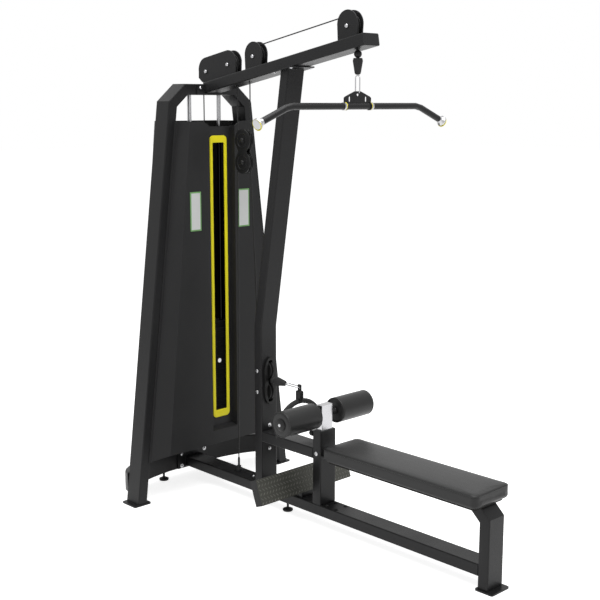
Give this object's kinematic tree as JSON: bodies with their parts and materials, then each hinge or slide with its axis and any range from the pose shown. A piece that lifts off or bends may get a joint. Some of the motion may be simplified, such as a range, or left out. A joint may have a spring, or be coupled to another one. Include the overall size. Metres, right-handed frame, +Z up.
{
  "type": "lat pulldown machine",
  "caption": "Free-standing cable gym machine: a shrouded weight tower, a braced overhead beam with a lat pulldown bar, a low row handle, a long padded seat, thigh rollers and a footrest.",
  "frame": {"origin": "on the floor, in the middle of the machine's length and width", "axes": "+Z up, +X from the weight tower towards the seat, +Y across, the far side of the picture"},
  "size_m": [2.1644, 1.2292, 2.4611],
  "materials": {
    "black_powder_coat": "fine satin powder coat",
    "shroud_coat": "satin powder coat on folded sheet",
    "yellow_plastic": "satin moulded",
    "chrome": "bright plated",
    "black_plastic": "moulded",
    "black_rubber": "matt",
    "black_vinyl": "grained vinyl over foam",
    "painted_iron": "painted",
    "steel_rope": "coated wire rope",
    "tread_plate": "coated tread pattern",
    "plywood": "black stained"
  },
  "bodies": {
    "frame": {"base_tube": "black_powder_coat", "cable_anchor": "painted_iron", "footrest_bracket": "black_powder_coat", "footrest_plate": "tread_plate", "front_bracket": "black_powder_coat", "front_post": "black_powder_coat", "guide_rod_far": "chrome", "guide_rod_near": "chrome", "lat_cable": "steel_rope", "levelling_foot_far": "black_rubber", "levelling_foot_middle": "black_rubber", "levelling_foot_near": "black_rubber", "mast": "black_powder_coat", "middle_bracket": "black_powder_coat", "plates_resting": "painted_iron", "rear_base_bow": "black_powder_coat", "rear_bracket": "black_powder_coat", "row_axle_lower": "chrome", "row_axle_upper": "chrome", "row_cable": "steel_rope", "row_outlet": "black_plastic", "seat_board": "plywood", "seat_pad": "black_vinyl", "seat_post": "black_powder_coat", "shroud_front": "shroud_coat", "shroud_rear": "shroud_coat", "stack_bumper": "black_rubber", "stack_seat": "black_powder_coat", "top_beam": "black_powder_coat", "tower_arch": "black_powder_coat", "tower_leg_far": "black_powder_coat", "tower_leg_near": "black_powder_coat", "upper_rail": "black_powder_coat", "window_bezel": "yellow_plastic"},
    "stem": {"selector_stem": "painted_iron"},
    "lifted_plates": {"plates_lifted": "painted_iron"},
    "pin": {"selector_pin": "chrome"},
    "lat_line": {"lat_stop": "black_rubber"},
    "pull_bar": {"lat_hook": "chrome", "lat_bar": "black_powder_coat", "bar_cap_near": "chrome", "bar_cap_far": "chrome"},
    "row_line": {"row_stop": "black_rubber", "row_hook": "chrome"},
    "stirrup": {"row_handle": "black_rubber"},
    "block": {"floating_block": "black_plastic"},
    "block_wheel_upper": {"block_pulley_upper": "black_plastic"},
    "block_wheel_lower": {"block_pulley_lower": "black_plastic"},
    "wheel_rear_1": {"pulley_rear_1": "black_plastic"},
    "wheel_rear_2": {"pulley_rear_2": "black_plastic"},
    "wheel_middle": {"pulley_middle": "black_plastic"},
    "wheel_front": {"pulley_front": "black_plastic"},
    "row_wheel_upper": {"row_pulley_upper": "black_plastic"},
    "row_wheel_lower": {"row_pulley_lower": "black_plastic"},
    "thigh_post": {"roller_post": "chrome", "roller_bar": "chrome"},
    "thigh_roller_near": {"roller_near": "black_vinyl"},
    "thigh_roller_far": {"roller_far": "black_vinyl"},
    "latch": {"pop_pin": "black_plastic"}
  },
  "joints": [
    {"name": "lat_lift", "type": "slide", "parent": "frame", "child": "stem", "axis": [0, 0, 1], "range_m": [0, 0.55], "deforming": ["lat_cable", "row_cable"]},
    {"name": "row_lift", "type": "slide", "parent": "stem", "child": "lifted_plates", "axis": [0, 0, 1], "range_m": [0, 0.55], "deforming": ["lat_cable", "row_cable"]},
    {"name": "pin_pull", "type": "slide", "parent": "lifted_plates", "child": "pin", "axis": [1, 0, 0], "range_m": [0, 0.07]},
    {"name": "lat_pull", "type": "slide", "parent": "frame", "child": "lat_line", "axis": [0, 0, -1], "range_m": [0, 0.55], "deforming": ["lat_cable", "row_cable"]},
    {"name": "bar_swivel", "type": "hinge", "parent": "lat_line", "child": "pull_bar", "pos_m": [0.21925, 0, 2.098], "axis": [0, 0, 1], "range_deg": [-60, 60]},
    {"name": "row_pull", "type": "slide", "parent": "frame", "child": "row_line", "axis": [0.5, 0, 0.866], "range_m": [0, 0.55], "deforming": ["lat_cable", "row_cable"]},
    {"name": "handle_swing", "type": "hinge", "parent": "row_line", "child": "stirrup", "pos_m": [-0.15575, 0, 0.666], "axis": [0, 1, 0], "range_deg": [-12, 18]},
    {"name": "block_drop", "type": "slide", "parent": "frame", "child": "block", "axis": [0, 0, -1], "range_m": [0, 0.275], "deforming": ["lat_cable", "row_cable"]},
    {"name": "block_upper_spin", "type": "hinge", "parent": "block", "child": "block_wheel_upper", "pos_m": [-0.55875, 0, 1.868], "axis": [0, 1, 0], "range_deg": [0, 660]},
    {"name": "block_lower_spin", "type": "hinge", "parent": "block", "child": "block_wheel_lower", "pos_m": [-0.55875, 0, 1.757], "axis": [0, 1, 0], "range_deg": [0, 330]},
    {"name": "rear_1_spin", "type": "hinge", "parent": "frame", "child": "wheel_rear_1", "pos_m": [-0.82575, 0, 2.2111], "axis": [0, -1, 0], "range_deg": [0, 660]},
    {"name": "rear_2_spin", "type": "hinge", "parent": "frame", "child": "wheel_rear_2", "pos_m": [-0.65475, 0, 2.2418], "axis": [0, -1, 0], "range_deg": [0, 660]},
    {"name": "middle_spin", "type": "hinge", "parent": "frame", "child": "wheel_middle", "pos_m": [-0.46275, 0, 2.2763], "axis": [0, -1, 0], "range_deg": [0, 660]},
    {"name": "front_spin", "type": "hinge", "parent": "frame", "child": "wheel_front", "pos_m": [0.17125, 0, 2.3902], "axis": [0, -1, 0], "range_deg": [0, 660]},
    {"name": "row_upper_spin", "type": "hinge", "parent": "frame", "child": "row_wheel_upper", "pos_m": [-0.40725, 0, 0.714], "axis": [0, 1, 0], "range_deg": [0, 660]},
    {"name": "row_lower_spin", "type": "hinge", "parent": "frame", "child": "row_wheel_lower", "pos_m": [-0.40725, 0, 0.604], "axis": [0, 1, 0], "continuous": true},
    {"name": "roller_height", "type": "slide", "parent": "frame", "child": "thigh_post", "axis": [0, 0, 1], "range_m": [0, 0.12]},
    {"name": "roller_near_spin", "type": "hinge", "parent": "thigh_post", "child": "thigh_roller_near", "pos_m": [0.01775, -0.18, 0.57], "axis": [0, 1, 0], "continuous": true},
    {"name": "roller_far_spin", "type": "hinge", "parent": "thigh_post", "child": "thigh_roller_far", "pos_m": [0.01775, 0.18, 0.57], "axis": [0, 1, 0], "continuous": true},
    {"name": "latch_pull", "type": "slide", "parent": "frame", "child": "latch", "axis": [-1, 0, 0], "range_m": [0, 0.012], "stiffness_N_per_m": 400}
  ],
  "couplings": [
    {"joint": "lat_pull", "follows": "lat_lift", "ratio": 1},
    {"joint": "row_pull", "follows": "row_lift", "ratio": 1},
    {"joint": "block_drop", "follows": "row_lift", "ratio": 0.5},
    {"joint": "block_upper_spin", "follows": "lat_lift", "rad_per_m": 20.833},
    {"joint": "block_lower_spin", "follows": "row_lift", "rad_per_m": 10.417},
    {"joint": "rear_1_spin", "follows": "lat_lift", "rad_per_m": 20.833},
    {"joint": "rear_2_spin", "follows": "lat_lift", "rad_per_m": 20.833},
    {"joint": "middle_spin", "follows": "lat_lift", "rad_per_m": 20.833},
    {"joint": "front_spin", "follows": "lat_lift", "rad_per_m": 20.833},
    {"joint": "row_upper_spin", "follows": "row_lift", "rad_per_m": 20.833}
  ]
}
